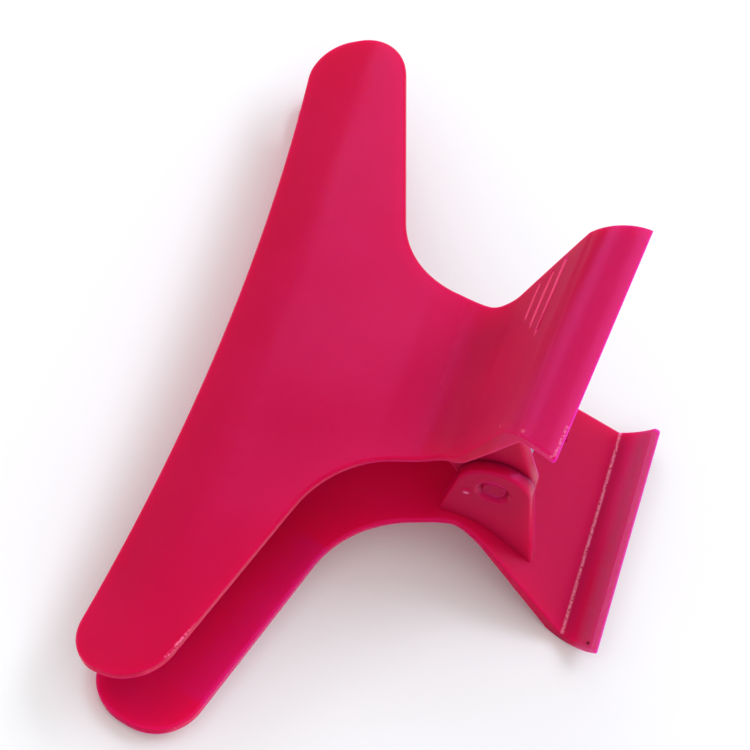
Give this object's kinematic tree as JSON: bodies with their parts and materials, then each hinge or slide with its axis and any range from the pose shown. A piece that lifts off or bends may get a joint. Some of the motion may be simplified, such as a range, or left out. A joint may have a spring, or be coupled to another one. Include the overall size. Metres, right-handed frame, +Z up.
{
  "type": "butterfly hair clip",
  "caption": "Spring-loaded butterfly hair clip: broad wing-shaped jaws and flared finger handles, turning on snap-in stubs along one hinge line.",
  "frame": {"origin": "centre of the clip's box at the surface that it lies on", "axes": "+Z up from the surface, Y along the hinge line and the jaws' length, -X towards the jaws' front edge and +X towards the finger handles"},
  "size_m": [0.0536, 0.0834, 0.0412],
  "materials": {
    "lower_half": "gloss",
    "upper_half": "gloss",
    "spring": "satin"
  },
  "bodies": {
    "lower": {"lower_half": "lower_half"},
    "upper": {"upper_half": "upper_half", "spring": "spring"}
  },
  "joints": [
    {"name": "squeeze", "type": "hinge", "parent": "lower", "child": "upper", "pos_m": [0.00825, -0.00062, 0.01711], "axis": [0, 1, 0], "range_deg": [0, 118], "stiffness_Nm_per_rad": 0.06, "springref_deg": -45.84, "deforming": ["spring"]}
  ]
}
